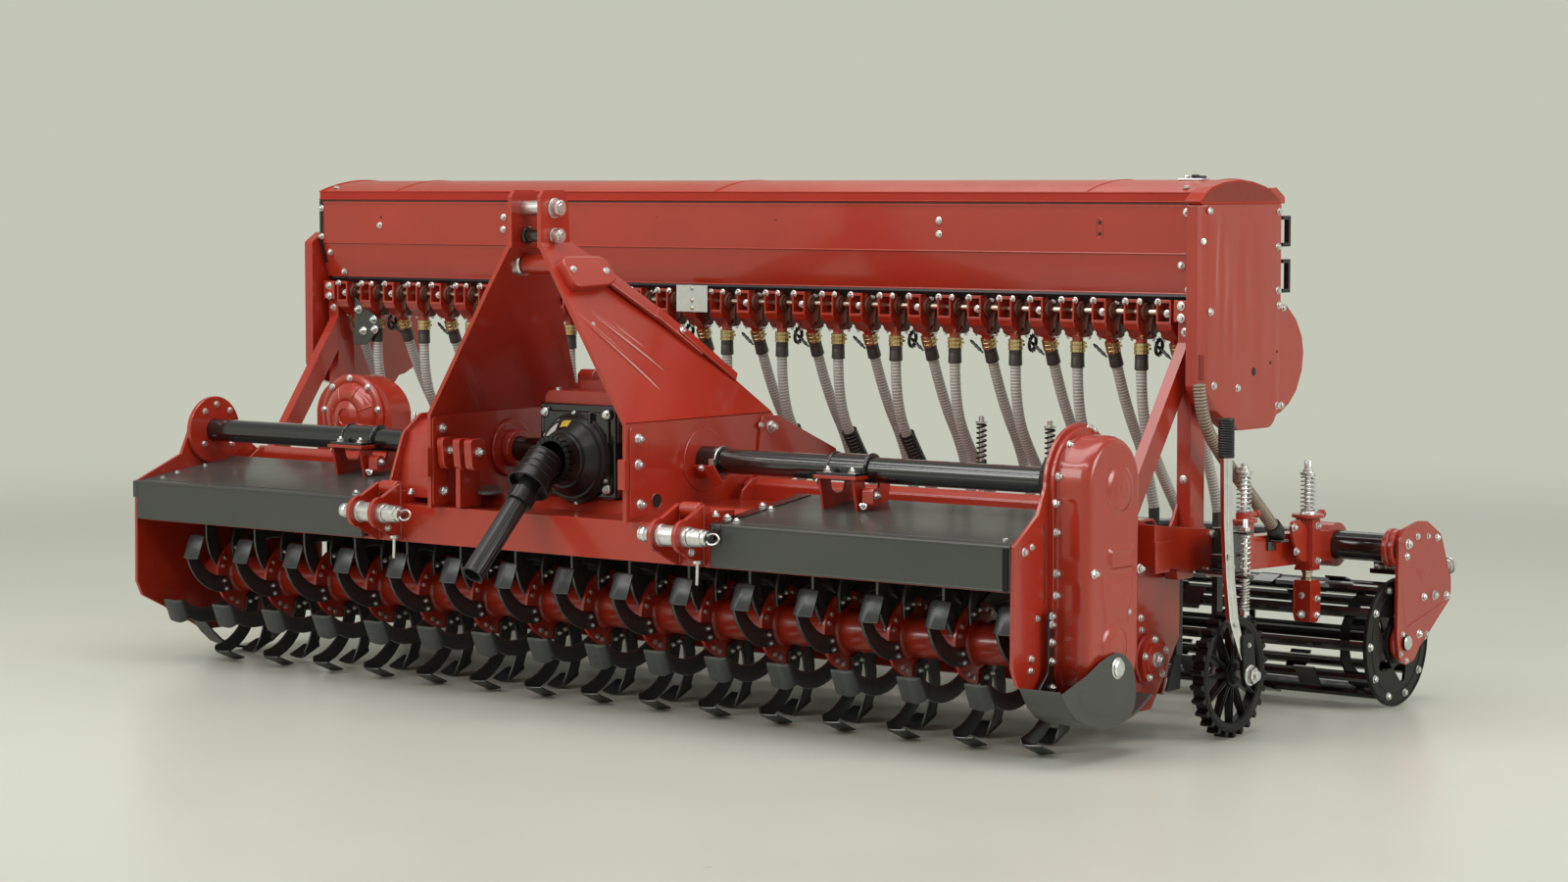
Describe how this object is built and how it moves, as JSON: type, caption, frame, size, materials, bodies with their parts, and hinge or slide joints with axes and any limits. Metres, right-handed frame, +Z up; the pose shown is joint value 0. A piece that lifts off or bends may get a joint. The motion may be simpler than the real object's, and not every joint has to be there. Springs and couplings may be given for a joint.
{
  "type": "seed drill",
  "caption": "Mounted seed drill on a rotary tiller: a long seed hopper with metering units and hoses over a bladed rotor and a cage roller.",
  "frame": {"origin": "on the ground below the middle of the machine's box", "axes": "+X across the machine to the gear-case side, +Y to the rear, away from the tractor, +Z up"},
  "size_m": [3.508, 1.9733, 1.361],
  "materials": {
    "red_paint": "gloss",
    "grey_paint": "satin",
    "black_paint": "gloss",
    "black_plastic": "matt",
    "blade_steel": "dark, worn",
    "zinc": "zinc plated",
    "bright_steel": "bright",
    "clip_metal": "yellow zinc",
    "cuff_plastic": "satin",
    "hose_plastic": "clear grey, ribbed"
  },
  "bodies": {
    "frame": {"adjuster_screws": "zinc", "beam_shelf": "red_paint", "bearing_flanges": "red_paint", "coulter_shoes": "blade_steel", "cover_handles": "black_plastic", "cross_tubes": "black_paint", "depth_adjusters": "red_paint", "drive_shaft_shield": "black_plastic", "front_beam": "red_paint", "front_covers": "grey_paint", "gear_case": "red_paint", "gearbox": "red_paint", "gearbox_plate": "black_paint", "headstock_left": "red_paint", "headstock_right": "red_paint", "hood": "red_paint", "hopper": "red_paint", "hopper_braces": "red_paint", "hopper_posts": "red_paint", "hose_clips": "clip_metal", "hose_cuffs": "cuff_plastic", "lower_hitch_clevises": "red_paint", "lower_hitch_pins": "zinc", "mast_spacer": "red_paint", "metering_shaft": "bright_steel", "metering_units": "red_paint", "rate_gearbox": "red_paint", "rear_beam": "red_paint", "roller_end_plates": "red_paint", "roller_frame_tube": "black_paint", "seed_bar": "black_paint", "seed_hoses": "hose_plastic", "seed_tubes": "blade_steel", "side_arms": "red_paint", "side_cover_left": "red_paint", "side_cover_right": "red_paint", "side_plates": "red_paint", "skids": "grey_paint", "top_link_pins": "zinc", "tube_flanges": "black_paint", "wheel_bracket": "black_paint", "wheel_lever": "bright_steel", "wheel_lever_grip": "black_plastic"},
    "rotor": {"rotor_shaft": "red_paint", "rotor_flanges": "red_paint", "rotor_blades": "blade_steel", "blade_feet": "blade_steel"},
    "roller": {"roller_cage": "black_paint", "roller_bars": "black_paint", "roller_rings": "black_paint"},
    "ground_wheel": {"ground_wheel": "black_paint"},
    "lid": {"hopper_lid": "red_paint"},
    "drive_shaft": {"drive_shaft_bell": "black_plastic", "drive_shaft_guard": "black_plastic"}
  },
  "joints": [
    {"name": "rotor_spin", "type": "hinge", "parent": "frame", "child": "rotor", "pos_m": [0, -0.4834, 0.2429], "axis": [1, 0, 0], "continuous": true},
    {"name": "roller_spin", "type": "hinge", "parent": "frame", "child": "roller", "pos_m": [0, 0.6836, 0.167], "axis": [1, 0, 0], "continuous": true},
    {"name": "ground_wheel_spin", "type": "hinge", "parent": "frame", "child": "ground_wheel", "pos_m": [1.65, -0.0384, 0.158], "axis": [1, 0, 0], "continuous": true},
    {"name": "lid_hinge", "type": "hinge", "parent": "frame", "child": "lid", "pos_m": [0, -0.0004, 1.3025], "axis": [1, 0, 0], "range_deg": [0, 95]},
    {"name": "drive_shaft_swing", "type": "hinge", "parent": "frame", "child": "drive_shaft", "pos_m": [0, -0.6954, 0.64], "axis": [-1, 0, 0], "range_deg": [0, 45]}
  ]
}
